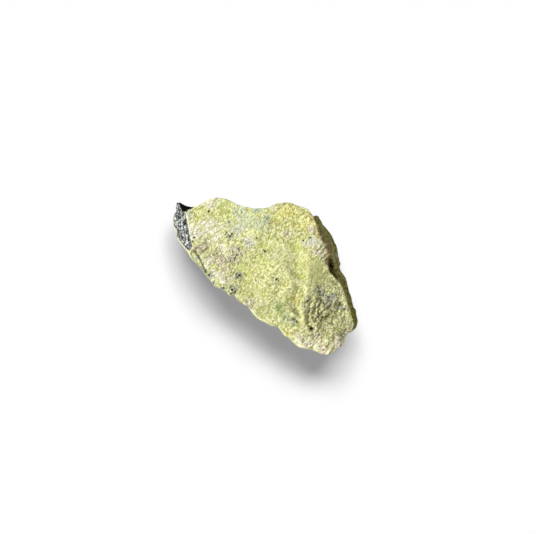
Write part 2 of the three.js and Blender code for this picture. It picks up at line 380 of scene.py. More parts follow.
# Where the grain is drawn out in fine ripples: where, reach, stretch, turn.
RIPPLES = (-19, -9, 11, 1.3, -10)

# Layers of relief, coarse to fine: texture, noise, size, pull along the grain, the grain's turn,
# depth, where.
LAYERS = (
    ("swell", "SOFT_NOISE", 6.5, 1.4, -14, 0.7, "skin"),
    ("lumps", "SOFT_NOISE", 2.8, 1.8, -14, 0.16, "skin"),
    ("slabs", "SOFT_NOISE", 1.5, 2.6, 4, 0.22, "rough"),
    ("grains", "HARD_NOISE", 0.4, 1.5, -6, 0.17, "skin"),
)
GRAIN_TURN = -14.0

# Layers of broken facets: size, pull along the grain, the grain's turn, depth, where. A layer's
# place in this list gives it its seed.
FACETS = (
    (2.4, 1.7, -16, 0.09, "skin"),
    (1.2, 1.9, -16, 0.085, "skin"),
    (0.7, 1.9, -12, 0.14, "skin"),
    (1.5, 2.4, 2, 0.22, "rough"),
    (0.75, 2.6, 2, 0.46, "rough"),
    (6, 1, 20, 0.75, "wall"),
    (2.6, 1.2, 35, 0.3, "wall"),
    (0.75, 3.2, -10, 0.17, "ripple"),
)


# Forms that follow the stone's own lines: depths and heights in mm, slopes in mm for each mm, and
# where they begin and are full.
SHOULDER_BULGE = 0.4
SHOULDER_HEIGHT = (8.0, 11.0)
VEIN_STEP = 0.7
VEIN_STEP_STRETCH = (-0.05, 0.45, 1.5, 5.0)
VEIN_STEP_START = (12.0, 16.0)
FACE_SLOPE = 0.24
FACE_WIDTH = 3.2
CREST_HEIGHT = 0.06
CLIFF_DEPTH = 1.8
CLIFF_LIP = 0.22
SIDE_SLOPE = 1.4
SIDE_WIDTH = 2.5

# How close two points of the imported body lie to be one, in metres.
MERGE_DISTANCE = 1e-6
# Steps in which a vertex group's weights are painted.
WEIGHT_STEPS = 50
# How far apart the layers read their noise, in metres, for each letter of a layer's name and for
# each millimetre of its size.
LAYER_SHIFT = 0.013
SIZE_SHIFT = 0.0041
# Rounds of evening out, for the way the skin broadly faces and for its height over its surroundings.
CALM_ROUNDS = 8
BROAD_ROUNDS = 30


def read_points(mesh):
    """A mesh's points in millimetres."""
    flat = np.empty(len(mesh.vertices) * 3)
    mesh.vertices.foreach_get("co", flat)
    return flat.reshape(-1, 3) / MM


def write_points(mesh, points):
    """Moves a mesh's points to places in millimetres."""
    mesh.vertices.foreach_set("co", (points * MM).ravel())
    mesh.update()


def read_normals(mesh):
    """The way each of a mesh's points faces."""
    flat = np.empty(len(mesh.vertices) * 3)
    mesh.vertex_normals.foreach_get("vector", flat)
    return flat.reshape(-1, 3)


def apply_modifier(piece, kind, name, **settings):
    """Adds a modifier with its settings and applies it at once."""
    made = piece.modifiers.new(name, kind)
    for key, value in settings.items():
        setattr(made, key, value)
    bpy.ops.object.modifier_apply(modifier=made.name)


def paint_group(piece, name, weights):
    """A vertex group of the given weights, in even steps."""
    group = piece.vertex_groups.new(name=name)
    steps = np.rint(np.clip(weights, 0.0, 1.0) * WEIGHT_STEPS).astype(int)
    for step in range(1, WEIGHT_STEPS + 1):
        chosen = np.nonzero(steps == step)[0]
        if len(chosen):
            group.add(chosen.tolist(), step / WEIGHT_STEPS, "REPLACE")


def body_copy(context):
    """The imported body's own shape as a new, merged piece."""
    bpy.ops.object.select_all(action="DESELECT")
    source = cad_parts[STONE_NODE]
    piece = bpy.data.objects.new(PIECE, source.data.copy())
    context.scene.collection.objects.link(piece)
    piece.data.materials.clear()
    piece.select_set(True)
    context.view_layer.objects.active = piece
    bpy.ops.object.mode_set(mode="EDIT")
    bpy.ops.mesh.select_all(action="SELECT")
    bpy.ops.mesh.remove_doubles(threshold=MERGE_DISTANCE)
    bpy.ops.mesh.normals_make_consistent(inside=False)
    bpy.ops.object.mode_set(mode="OBJECT")
    return piece


def press_forms(piece):
    """Presses the creases and pits into the stone, raises the lumps and breaks the top at the crest."""
    mesh = piece.data
    points, normals = read_points(mesh), read_normals(mesh)
    x, y, z = points.T
    up = normals[:, 2]
    lift = np.zeros(len(points))
    for start, end, width, depth in CREASES + SLITS:
        away = np.abs(beside(points, (start, end))) + 0.15 * wobble(points, 0.7)
        lift -= depth * ease(1.0 - away / width, 0.0, 1.0)
    for *place, reach, depth in PITS:
        lift -= depth * spot(points, *place, reach)
    for *place, reach, stretch, turn, height in LUMPS + SWELLS:
        lift += height * spot(points, *place, reach, stretch, turn)

    # The shoulder all round bulges, and the dark layer at the heel lies lower than the pale body.
    shoulder = ease(up, 0.15, 0.55) * ease(-up, -0.97, -0.8)
    lift += SHOULDER_BULGE * shoulder * ease(z, *SHOULDER_HEIGHT)
    past_vein = -beside(points, VEIN_EDGE) + 0.18 * wobble(points, 1.1)
    step = between(past_vein, *VEIN_STEP_STRETCH)
    lift -= VEIN_STEP * step * ease(-x, *VEIN_STEP_START)

    # Beside the upper crest a smooth face falls away; beside the lower crest, a small cliff.
    right = -beside(points, CREST)
    upper = ease(y, -2.5, 0.5) * ease(-y, -9.0, -6.5)
    face = np.clip(right, 0.0, FACE_WIDTH) * ease(-right, -7.5, -FACE_WIDTH)
    lift -= FACE_SLOPE * face * upper
    lift += CREST_HEIGHT * upper * ease(1.0 - np.abs(right) / 0.5, 0.0, 1.0)
    lower = ease(-y, 1.5, 3.0) * ease(y, -10.5, -8.5)
    cliff = ease(right, -0.1, 0.7) * ease(-right, -5.5, -1.5)
    lift -= CLIFF_DEPTH * cliff * lower
    lift += CLIFF_LIP * lower * ease(1.0 - np.abs(right + 0.5) / 1.2, 0.0, 1.0)
    points += normals * (ease(up, 0.0, 0.45) * lift)[:, None]

    # Past its edge the steep side drops.
    past_edge = np.clip(beside(points, STEEP_EDGE), 0.0, SIDE_WIDTH) * ease(x, 2.0, 4.0)
    z -= SIDE_SLOPE * past_edge * ease(up, 0.2, 0.6)
    write_points(mesh, points)


def neighbour_mean(mesh, values, rounds):
    """Each point's value evened out with its neighbours', a number of times."""
    edges = np.empty(len(mesh.edges) * 2, dtype=np.int64)
    mesh.edges.foreach_get("vertices", edges)
    first, second = edges.reshape(-1, 2).T
    count = np.bincount(edges, minlength=len(values))[:, None]
    for _ in range(rounds):
        total = np.stack([
            np.bincount(first, column[second], len(values))
            + np.bincount(second, column[first], len(values))
            for column in values.T
        ], axis=1)
        values = 0.5 * values + 0.5 * total / count
    return values


def zone_weights(points, normals):
    """Where each kind of relief lies: the common skin, the flaky end, the ripples and the walls."""
    smooth = strongest_spot(points, SMOOTH_SPOTS, core=0.55)
    rough = strongest_spot(points, ROUGH_SPOTS, core=0.3)
    steep = ease(beside(points, STEEP_EDGE), -0.2, 0.6)
    steep *= ease(points[:, 0], -2.0, 1.5)
    top = ease(normals[:, 2], 0.05, 0.35)
    # The grain dies away toward the foot.
    foot = ease(points[:, 2], 0.0, 1.5)
    ripple = top * spot(points, *RIPPLES, core=0.4)
    skin = (1.0 - smooth * top) * (1.0 - 0.45 * steep) * (0.25 + 0.75 * foot)
    return {
        "skin": skin * (1.0 - 0.4 * ripple),
        "ripple": ripple,
        "rough": rough * top * foot,
        "wall": (1.0 - top) * (1.0 - steep) * foot,
    }


def add_relief(piece, settings):
    """Gives the skin its layers of grain and then its broken facets."""
    points, normals = read_points(piece.data), read_normals(piece.data)
    for name, weights in zone_weights(points, normals).items():
        paint_group(piece, name, weights)
    for name, noise_type, size, pull, turn, depth, zone in LAYERS:
        texture = bpy.data.textures.new(name, "CLOUDS")
        texture.noise_scale = size * MM
        texture.noise_depth = 2
        texture.noise_type = noise_type
        grain = bpy.data.objects.new(name + "_grain", None)
        bpy.context.scene.collection.objects.link(grain)
        grain.rotation_euler = Euler((0.0, 0.0, math.radians(turn)))
        grain.scale = (1.0, pull, 1.0)
        # Each layer reads its noise from a place of its own.
        grain.location = (LAYER_SHIFT * len(name) + SIZE_SHIFT * size, 0.0, 0.0)
        bpy.context.view_layer.update()
        apply_modifier(piece, "DISPLACE", name, texture=texture, texture_coords="OBJECT",
                       texture_coords_object=grain, vertex_group=zone, mid_level=0.5,
                       strength=depth * settings.relief * MM)
        bpy.data.objects.remove(grain)
        bpy.data.textures.remove(texture)
    points, normals = read_points(piece.data), read_normals(piece.data)
    calm = neighbour_mean(piece.data, normals, CALM_ROUNDS)
    weights = zone_weights(points, calm)
    push = np.zeros(len(points))
    for index, (size, pull, turn, depth, zone) in enumerate(FACETS):
        push += depth * weights[zone] * facets(points, size, pull, turn, 11 * index + 1)
    write_points(piece.data, points + calm * (push * settings.relief)[:, None])


# ---------------------------------------------------------------- colour map

# Each tint: name, then where, reach and strength of its spots.
TINTS = {
    "cream": (
        (32, -1.8, 2, 0.6), (32.2, -6.4, 2.2, 0.5), (-28, -5, 2.2, 0.9),
        (-24.5, -8.5, 3.6, 1), (-24.5, 2, 3.2, 0.85), (-21.5, -4.5, 4, 0.95),
        (-17, -7, 3.5, 0.9), (-9, -14, 4, 0.7), (-14.2, -7.6, 3, 0.7),
        (-11.5, -15.2, 3.2, 0.8), (-15, -14, 3.5, 0.95), (4.8, -14.6, 3.2, 0.6),
        # The cream spot at (13.2, -7.4) is painted light, lifting a place that the relief shades.
        (13.2, -7.4, 2.4, 0.5), (22.8, -15.4, 3.2, 0.9), (26.4, -12.8, 3.2, 0.75),
        (8.6, 11.4, 2.2, 0.8), (-9.4, 11.8, 1.8, 0.8), (10.8, 9.8, 2.8, 0.9),
        (-13, -3.5, 3, 0.4),
    ),
    "gold": (
        (-4.5, 13, 5, 0.9), (1.5, 14, 4, 0.8), (-6.5, 10.5, 3, 0.7),
        (0, 11.5, 3, 0.7), (-25.7, -4, 1.9, 0.6), (8.6, -3.8, 2.2, 0.7),
        (12.4, -6.6, 3.4, 0.7), (17.6, -15.2, 3.2, 0.45), (14.6, -3.6, 1.8, 0.5),
        (8, 6.8, 1.6, 0.8), (10.6, 8.4, 1.6, 0.4), (-22, -0.5, 2.2, 0.5),
        (-2.5, -7, 3, 0.5),
    ),
    "lime": (
        (-21.5, 3, 3.2, 0.8), (-18, 2.6, 2.6, 0.8), (-5.1, 1.7, 3.2, 0.9), (3.5, 6.6, 3.4, 0.8),
        (8.6, 3.2, 2.6, 1), (10.4, 0.8, 2.2, 0.9), (-6, -8.1, 3.2, 0.8), (-2, -3.6, 3, 0.6),
        (-9.5, -3.5, 2, 0.5), (3, -10.5, 3, 0.5),
    ),
    "pale_green": (
        (-14.5, 4.5, 4.6, 1), (-10.3, 5.3, 3.2, 1), (-15.5, 1, 3, 0.6),
        (0.6, 1, 2.2, 0.8), (-6.5, 5, 2.2, 0.4), (13.5, -12.5, 2.5, 0.6),
    ),
    "jade": (
        (-12.6, 7.9, 2.6, 1), (-9, 8.6, 1.9, 0.8),
    ),
    "leaf": (
        (-8.6, 8.6, 1.7, 0.3), (10.6, -11.4, 2.2, 1), (13.2, -12.8, 1.6, 0.5),
        (17, -12.6, 1.5, 0.5),
    ),
    "chalk": (
        (-14.3, -0.9, 2.2, 0.9), (-12.6, 0.8, 2, 0.7), (-8.8, -0.6, 2.9, 1),
        (6.2, 10.5, 1.9, 0.9), (5.1, 9.3, 1.5, 0.8), (-17.5, -1.4, 1.5, 0.5),
        (-24.2, -9.4, 2.4, 0.7), (-28.4, -4.6, 1.6, 0.6),
    ),
    "pink": (
        (-10.4, -6.6, 3, 1), (-19.4, -12, 2.8, 0.35), (31, -9.6, 3.6, 1),
        (30, -13.8, 2.8, 0.9), (-0.4, 8.6, 2.2, 0.8), (-24.4, 0.4, 1.8, 0.5),
        (24.8, -16, 2, 0.5), (10.6, 10, 2.4, 0.4), (31.2, -4.4, 2.2, 0.6),
    ),
    "tan": (
        (-16.5, -10, 4.2, 0.8), (-12.6, -11, 3.2, 0.8), (-19.2, -11.6, 2.8, 0.7),
        (28.2, -11, 3.4, 0.75), (4.4, 13.8, 2, 0.9), (25.2, -12.6, 2, 0.7),
        (9.8, 9.6, 3, 0.45), (8.8, 8.4, 1.8, 0.6), (20, -12.5, 2.2, 0.6),
        (-3, -16, 2.2, 0.6), (-8, -12.5, 3.2, 0.6), (3.2, -16.2, 2.6, 0.8),
        (20.5, -14.5, 3, 0.5), (29, -3.6, 2.6, 0.7),
    ),
    "moss": (
        (12.6, 4.6, 3.2, 1), (14.8, 3.2, 2.8, 1), (14.6, 1.2, 2.2, 1), (19, 4, 2.6, 0.7),
        (29.4, -5.6, 1.8, 0.7), (9.2, 2.8, 2.8, 0.6), (20, -4, 2.6, 0.5),
        (7.2, -14.4, 3.4, 0.9), (2, -12, 3, 0.3),
    ),
    "olive": (
        (22, 1.5, 5.5, 1), (21, -5, 6.5, 1), (27, -2, 3.4, 0.5),
        (24, -9, 4, 0.7), (16.6, -4.4, 2.6, 1), (16.2, -1.6, 2.4, 0.9),
        (15.4, -3.8, 1.6, 0.9), (16.6, -6.8, 1.8, 0.9), (21.2, -9, 2, 1),
        (26.5, 0.8, 2.6, 1), (30, -1.2, 1.8, 0.6),
    ),
    "slate": (
        (21, 0.5, 3, 0.8), (-8.6, -1, 1.4, 0.4), (-14.6, -3, 1.9, 0.9),
        (-5.2, -10.9, 2, 0.8), (-3.8, -15.4, 2.2, 0.9), (-12, -16.4, 1.8, 0.8),
        (-18.6, -14.8, 1.5, 0.7), (-15, -16, 1.8, 0.9), (-9.5, -17, 1.7, 0.7),
        (-6.4, -16.8, 1.5, 0.6), (17.2, 0.2, 2.2, 0.7), (25.2, 0, 2.6, 0.8),
        (27.2, 0.8, 1.8, 0.8), (22.4, -5.7, 1.6, 0.3), (16.8, -12, 1.6, 0.7),
        (30.4, -1.6, 1.6, 0.5), (5.2, -5.6, 1.4, 0.4),
    ),
    "mauve": (
        (-9.6, -6.6, 3.4, 1), (-18.8, -11.8, 2, 0.25), (-11.6, -8, 2.4, 0.6),
        (24.6, -11.4, 1.6, 0.7),
    ),
    "amber": (
        (0.8, 16.9, 1.1, 0.7), (2.6, 16.2, 1.1, 0.8), (5.6, 14.6, 1.2, 0.8), (6.6, 13.6, 1.1, 0.6),
        (18.4, -8.9, 1.2, 0.9), (18.9, -10, 1.1, 0.9),
    ),
}

# Tints that drift over the walls in patches of no set place: size, where they begin and are full.
WALL_TINTS = {"cream": (8, -0.05, 0.35), "gold": (6.5, 0.05, 0.4), "moss": (9, 0, 0.35),
              "tan": (5, 0.1, 0.45), "slate": (3, 0.3, 0.55), "lime": (7, 0.1, 0.4)}

# Black grains of ore set in the stone: where, radius, how black. Those at (22.2, -10.5), in a pit, and
# at (16.2, -4.6) and (15.4, -6.4), under the cliff, are painted shade.
GRAINS = (
    (-24.1, -0.9, 0.42, 1), (-19.2, 2.8, 0.4, 0.4), (-17.3, 0.1, 0.3, 0.9), (-17.8, -0.5, 0.25, 0.6),
    (-16.7, -1.5, 0.3, 0.5), (-15.9, -2.7, 0.5, 0.6), (-14.3, -2.1, 0.38, 1),
    (-14.35, -3.1, 0.4, 0.9), (-15, -3.8, 0.35, 0.7), (-13.9, -4.3, 0.3, 0.7),
    (-22.8, -9.9, 0.4, 0.9), (-22.5, -11.1, 0.4, 0.95), (-19.9, -8.1, 0.28, 0.6),
    (-4.9, -10.7, 0.45, 0.9), (-6.8, -11.1, 0.4, 0.6), (-5, -12.2, 0.3, 0.6), (0.1, -9.1, 0.3, 1),
    (1.2, -9.1, 0.26, 0.8), (-7.6, 1.4, 0.38, 0.8), (-9.6, -1.5, 0.35, 0.6), (-3.1, -0.3, 0.42, 1),
    (-3.7, -0.2, 0.3, 0.9), (-2.7, 0.6, 0.3, 0.6), (3.6, -5.2, 0.3, 1), (4.8, -4.8, 0.36, 1),
    (4.65, -5.25, 0.3, 1), (-3.5, -14.7, 0.3, 0.9), (-4.1, -15.6, 0.5, 1), (-2.8, -15.6, 0.35, 0.8),
    (-3.6, -16.8, 0.4, 0.9), (-6.5, -16.7, 0.4, 0.8), (-12.3, -16.2, 0.45, 0.9),
    (5.3, 11.3, 0.4, 1), (4.2, 9.2, 0.32, 1), (5.7, 9.8, 0.3, 0.4), (-7.4, 2.4, 0.3, 0.4),
    (17.5, 0, 0.4, 0.8), (18.3, -0.9, 0.4, 0.7), (22.2, -10.5, 0.6, 1), (24.9, 0.6, 0.5, 0.7),
    (26.6, 0.2, 0.4, 0.7), (16.2, -4.6, 0.5, 0.6), (15.4, -6.4, 0.4, 0.6), (17.4, -11.6, 0.4, 0.7),
    (16.4, -11.3, 0.35, 0.7), (22.6, -5.7, 0.5, 0.7), (23.4, -5.2, 0.4, 0.7), (25.5, -6, 0.4, 0.7),
    (20.3, -7.6, 0.4, 0.7), (32.2, -9.3, 0.4, 0.7), (30.9, -6, 0.4, 0.6), (28.9, -13.4, 0.35, 0.7),
)

# Heights over the foot, where each zone begins and is full: the top's tints, the steep side's
# crisp upper part, the marks along its edge and the notch.
TOP_HEIGHT = (9.0, 13.0)
CRISP_HEIGHT = (12.0, 16.0)
EDGE_HEIGHT = (11.0, 15.0)
NOTCH_HEIGHT = (12.0, 16.5)
# Distances from the middle toward the heel, where each zone begins and is full.
HEEL = (20.5, 22.5)
RIM_START = (12.0, 14.0)
SEAM_START = (12.5, 14.0)
NOTCH_START = (28.2, 28.8)
# Where the seam begins and is full at its heel end.
SEAM_END = (-21.0, -20.2)
# Stretches, where each begins, is full, fades and is gone: rust and brink along x, ridge along y.
RUST_STRETCH = (4.8, 7.0, 13.8, 15.2)
BRINK_STRETCH = (0.0, 1.5, 4.8, 6.4)
RIDGE_STRETCH = (1.5, 2.5, 8.6, 9.2)
# The hollow's core, where its painted shade is darkest: where, reach, stretch, turn.
HOLE_CORE = (15.6, 8.6, 1.5, 1.5, -48.0)
# Where the steep side is bleached, fully and by half: where, reach.
FADED = (15.6, 11.2, 3.2)
HALF_FADED = (19.5, 8.2, 5.0)

# How far the rim's upper edge lies below the vein's, how much narrower it is beside the heel, and
# how high the rim's own stone reaches round the heel, at its back and more at its front.
RIM_DROP = 0.75
RIM_NARROWING = 0.4
RIM_FOOT = 9.5
RIM_FOOT_RISE = 3.5
# Where a crisp edge begins and is full.
CRISP_EDGE = (-0.05, 0.25)

# How much wider a tint's spots are drawn, and how far apart the walls' tints read their noise.
TINT_SPREAD = 1.25
WALL_DRIFT = 17.0
# The height over its surroundings at which a point counts as fully raised.
FULL_HEIGHT = 0.22


def tint_maps(points, top, walls, open_top):
    """Where each tint lies, and the black grains of ore, a few of which are painted shade in pits."""
    x, y, _ = points.T
    maps = {}
    for name, spots in TINTS.items():
        weights = strongest_spot(points, spots, wider=TINT_SPREAD) * open_top
        if name in WALL_TINTS:
            size, low, high = WALL_TINTS[name]
            drift = wobble(points + WALL_DRIFT * len(name), size)
            weights = np.maximum(weights, 0.9 * walls * ease(drift, low, high))
        maps[name] = weights
    ore = np.zeros(len(points))
    for grain_x, grain_y, radius, black in GRAINS:
        distance = np.hypot(x - grain_x, y - grain_y)
        ore = np.maximum(ore, black * (1.0 - ease(distance, radius * 0.55, radius * 1.25)))
    maps["ore"] = ore * top
    return maps


def heel_maps(points, top, ragged):
    """The dark vein round the heel, the rim under it, the seam in front of it and the notch, painted
    black as shade.
    """
    x, y, z = points.T
    past_vein = -beside(points, VEIN_EDGE) + 0.2 * ragged
    below = -beside(points, RIM_EDGE) - RIM_DROP + 0.2 * ragged
    below -= RIM_NARROWING * ease(-x, 22.0, 26.0)
    heel = ease(-x, *HEEL)
    rim = ease(below, *CRISP_EDGE) * ease(-y, 8.5, 9.5) * ease(-x, *RIM_START)
    foot = RIM_FOOT + RIM_FOOT_RISE * ease(-y, 5.0, 9.0)
    rim = np.maximum(rim, heel * (1.0 - ease(z + 0.5 * ragged - foot, 0.0, 1.5)))
    vein = ease(past_vein, *CRISP_EDGE) * heel * (1.0 - rim)
    seam = (1.0 - ease(np.abs(past_vein - 0.15), 0.2, 0.45)) * ease(-x, *SEAM_START)
    seam *= ease(x, *SEAM_END)
    # The notch's painted shade ends raggedly low down, where it closes into the vein.
    low = 1.0 - ease(z, 13.0, 16.0)
    notch_shade = ease(beside(points, NOTCH_EDGE) + 0.15 * ragged, -0.45, -0.15)
    notch_shade *= ease(-x + 0.5 * low * ragged, *NOTCH_START)
    notch_shade *= ease(z + 1.5 * ragged, *NOTCH_HEIGHT) * ease(past_vein, -0.3, 0.1)
    return {"rim": rim, "vein": vein, "seam": seam * top, "notch_shade": notch_shade}


def brink_maps(points, ragged):
    """The rust, the hollow with its painted shade, and the pale brink along the steep side's edge, and
    the crest.
    """
    x, y, z = points.T
    past_edge = beside(points, STEEP_EDGE)
    high = ease(z + ragged, *EDGE_HEIGHT)
    rust = 1.0 - ease(np.abs(past_edge + 0.1), 0.3, 1.1)
    rust *= between(x, *RUST_STRETCH)
    # The hollow's crevice is raggedly edged and narrows toward the nose; its core carries the darkest
    # painted shade.
    crevice = np.abs(beside(points, CREVICE)) + 0.25 * ragged + 0.5 * ease(x, 16.5, 20.5)
    hole = 0.7 * (1.0 - ease(crevice, 0.4, 1.1))
    core = spot(points, *HOLE_CORE, core=0.2)
    core = np.clip(core + 0.3 * wobble(points, 0.8) * core, 0.0, 1.0)
    inside = ease(past_edge + 0.12 * ragged, -0.35, 0.0)
    ridge = 1.0 - ease(np.abs(beside(points, CREST) - 0.1), 0.1, 0.4)
    ridge *= between(y, *RIDGE_STRETCH)
    brink = 1.0 - ease(np.abs(past_edge + 0.55), 0.2, 0.7)
    brink *= between(x, *BRINK_STRETCH)
    return {
        "rust": rust * high,
        "hole": high * inside * np.maximum(hole, core),
        "ridge": ridge,
        "brink": high * brink,
    }


def paint_map(piece):
    """Paints where each colour lies and how high each point stands, for the painted shade in the gaps,
    and gives the maps' names.
    """
    mesh = piece.data
    points, normals = read_points(mesh), read_normals(mesh)
    x, y, z = points.T
    height = np.einsum("ij,ij->i", points - neighbour_mean(mesh, points, BROAD_ROUNDS), normals)
    rough = zone_weights(points, normals)["rough"]
    slit = np.zeros(len(points))
    for start, end, *_ in SLITS:
        slit = np.maximum(slit, 1.0 - ease(np.abs(beside(points, (start, end))), 0.1, 1.0))

    # Low down, the edge of the steep side blurs and wanders.
    top = ease(z, *TOP_HEIGHT) * ease(normals[:, 2], -0.2, 0.2)
    low = 1.0 - ease(z, *CRISP_HEIGHT)
    uneven = wobble(points, 2.4)
    past_edge = beside(points, STEEP_EDGE) + 1.6 * low * uneven
    steep = ease(past_edge / (1.0 + 5.0 * low), -0.15, 0.35)
    steep *= ease(x + 0.5 * y + 2.5 * low * uneven - 3.0 * low, 7.5, 9.0)
    walls = (1.0 - top) * (1.0 - steep)
    open_top = top * (1.0 - steep)
    faded = np.maximum(spot(points, *FADED, core=0.3), 0.5 * spot(points, *HALF_FADED))
    calm = strongest_spot(points, SMOOTH_SPOTS, core=0.4) * top * (1.0 - steep)
    ragged = wobble(points, 1.1) * (3.0 - 2.0 * ease(z, 11.0, 14.0))

    maps = {
        # Painted shade and light: the height over the surroundings darkens the tone in the gaps and
        # lightens it on what stands up.
        "height": np.clip(height / FULL_HEIGHT, -1.0, 1.0) * (1.0 + 0.9 * rough),
        "slit": slit * rough,
        "flaky": rough,
        "steep": steep,
        "faded": steep * faded,
        "calm": np.maximum(calm, 0.5 * walls),
        **tint_maps(points, top, walls, open_top),
        **heel_maps(points, top, ragged),
        **brink_maps(points, ragged),
    }
    for name, values in maps.items():
        layer = mesh.attributes.new(name, "FLOAT", "POINT")
        layer.data.foreach_set("value", values.astype(np.float32))
    return list(maps)


# ---------------------------------------------------------------- material

def linear(code):
    """An sRGB hex colour as linear RGBA."""
    parts = [int(code[i:i + 2], 16) / 255.0 for i in (1, 3, 5)]
    return (*[p / 12.92 if p <= 0.04045 else ((p + 0.055) / 1.055) ** 2.4 for p in parts], 1.0)


# The pale serpentine's tints, laid in this order: map, colour of its gaps (which also takes painted
# shade), colour of its grain tops.
PALETTE = (
    ("cream", "#c6c396", "#f6f4e0"),
    ("gold", "#b7af52", "#f1ee9d"),
    ("lime", "#b0b65c", "#d9e191"),
    ("pale_green", "#a0a86e", "#d6dab6"),
    ("jade", "#8d9f7b", "#c6d3b6"),
    ("leaf", "#6e7e38", "#9cae66"),
    ("chalk", "#b2b391", "#e7e8cf"),
    ("tan", "#9a8f62", "#e9e2bf"),
    ("pink", "#a0916a", "#f3e6cc"),
    ("moss", "#a1a360", "#ced08d"),
    ("olive", "#767237", "#dbd9a0"),
    ("slate", "#62664b", "#bec2a8"),
    ("mauve", "#625a3c", "#d8d0b0"),
    ("amber", "#bfa857", "#f5eba6"),
)

# The colours of the coats over the pale stone: of the gaps and of the grain tops, or of the whole.
COATS = {
    "crumbs": ("#b3ab86", "#f0ead2"),
    "rim": ("#b9ba80", "#e2e3b4"),
    # The steep side's colours are partly its own olive-brown stain and partly painted shade.
    "side": ("#585318",),
    "side_grain": ("#4c4c1c", "#868642"),
    "stain": ("#443f1a",),
    "faded": ("#6c6536", "#aea66a"),
    "ridge": ("#bbae62", "#efe9a6"),
    "brink": ("#b39b52", "#f0e09e"),
    "rust": ("#544224", "#968152"),
    "hole_wall": ("#362a10", "#6f5d34"),
    # Painted shade, nearly black, inside the hollow.
    "hole": ("#060300",),
    # Painted shade in the gaps between the rough end's flakes.
    "flake_gap_shade": ("#666238",),
    "vein": ("#7b807f",),
    "chalk_specks": ("#d6d8cc",),
    "seam": ("#33362f",),
    # Painted shade, near black, for the notch under the heel's point.
    "notch_shade": ("#010101", "#0d0d0c"),
    "ore": ("#1c1c1d",),
}

# Where the patterns lie: turn in degrees, then how closely they follow each other along x, y and
# z; below 1 they are drawn out that way.
PLACES = (
    ("grain", -GRAIN_TURN, (1, 0.55, 1)),
    ("even", 0, (1, 1, 1)),
    ("streak", 40, (1, 1, 0.6)),
    ("flake", 4, (1, 0.38, 1)),
)

# The patterns: name, size in mm, place, detail, roughness, distortion. The real grain goes on
# finer, but no pattern starts below a third of a millimetre, since it would not show.
NOISES = (
    ("grains", 0.9, "grain", 2, 0.6, 0.3),
    ("flecks", 0.36, "grain", 1, 0.55, 0),
    ("clouds", 4, "even", 3, 0.55, 0),
    ("patches", 1.3, "grain", 2, 0.6, 0),
    ("streaks", 0.6, "streak", 3, 0.55, 0),
    ("stains", 1.5, "streak", 2, 0.55, 0),
    ("gaps", 0.38, "flake", 2, 0.6, 0),
    ("specks", 0.62, "even", 2, 0.65, 0),
    ("chalk_specks", 0.55, "grain", 1, 0.6, 0),
    ("breaks", 2.2, "even", 2, 0.55, 0),
    ("fine", 0.4, "grain", 2, 0.6, 0),
)
# Size in mm of the granules, each with a tone and a tilt of its own.
GRANULE = 0.4

# Soft steps: name, the map or pattern it reads, where it begins and ends, its values there.
STEPS = (
    ("crumb_share", "calm", 0, 1, 1, 0.2),
    ("side_tone", "streaks", 0.38, 0.62, 0, 1),
    ("faded_tone", "streaks", 0.35, 0.65, 0, 1),
    ("rust_spread", "patches", 0.3, 0.46, 0, 1),
    ("vein_tone", "specks", 0.46, 0.53, 0, 1),
    ("seam_spread", "breaks", 0.32, 0.43, 0, 1),
    ("bump_strength", "calm", 0, 1, 1, 0.6),
    ("side_gleam", "steep", 0, 1, 1, 0.5),
)

# How strongly each pattern swings the tone between gap colour and grain-top colour. The height's swing
# is painted shade in the gaps and painted light on what stands up.
TONE_SWINGS = {"height": 0.22, "grains": 0.25, "flecks": 2.6, "granules": 0.7, "flakes": 2.1}
# How strongly each pattern frays the edges of the tints.
EDGE_SWINGS = {"clouds": 2.2, "patches": 2.8, "granules": 0.7}
# How far smooth faces damp the tone, and the level they bring it to.
CALM_DAMPING = 0.42
CALM_LEVEL = 0.22
# Where a tint begins and is full, and how far out its edge is frayed.
TINT_SPAN = (0.05, 0.8)
TINT_FRINGE = 0.35
# The finest relief, in metres, and the tilt of the granules in it.
BUMP_DEPTH = 0.0003
GRANULE_TILT = 1.3
# Serpentine's index of refraction, and how rough its waxy skin is in the gaps and on the tops.
STONE_IOR = 1.56
GAP_ROUGHNESS = 0.9
TOP_ROUGHNESS = 0.72

# Settings that many nodes share: a range's soft ends, and the mixing of colours.
SOFT = {"interpolation_type": "SMOOTHSTEP"}
COLOURS = {"data_type": "RGBA"}


def add_node(tree, kind, inputs=(), **settings):
    """Adds a node with its settings and gives its outputs. Its inputs, in order or by key, are
    sockets to link or plain values."""
    made = tree.nodes.new("ShaderNode" + kind)
    for key, value in settings.items():
        setattr(made, key, value)
    for key, value in inputs.items() if isinstance(inputs, dict) else enumerate(inputs):
        if isinstance(value, bpy.types.NodeSocket):
            tree.links.new(value, made.inputs[key])
        else:
            made.inputs[key].default_value = value
    return made.outputs


def swing(tree, value, amount, onto):
    """The value's swing round one half, times an amount, on top of another value."""
    off_middle = add_node(tree, "Math", (value, 0.5), operation="SUBTRACT")[0]
    return add_node(tree, "Math", (off_middle, amount, onto), operation="MULTIPLY_ADD")[0]


def lay_coat(tree, below, share, colours, tone=None, span=None, spread=None):
    """Lays a coat over the colour below, as far as its share reaches: one colour, or two mixed by
    tone. The share is counted from one end of its span to the other and thinned by the spread."""
    if span:
        share = add_node(tree, "MapRange", (share, *span), **SOFT)[0]
    if spread is not None:
        share = add_node(tree, "Math", (share, spread), operation="MULTIPLY")[0]
    coat = colours[0]
    if tone is not None:
        coat = add_node(tree, "Mix", {0: tone, 6: colours[0], 7: colours[1]}, **COLOURS)[2]
    return add_node(tree, "Mix", {0: share, 6: below, 7: coat}, **COLOURS)[2]


def blank_material(name):
    """A material with an empty node tree, and the way to add nodes to it."""
    material = bpy.data.materials.new(name)
    material.use_nodes = True
    material.node_tree.nodes.clear()
    return material, partial(add_node, material.node_tree)


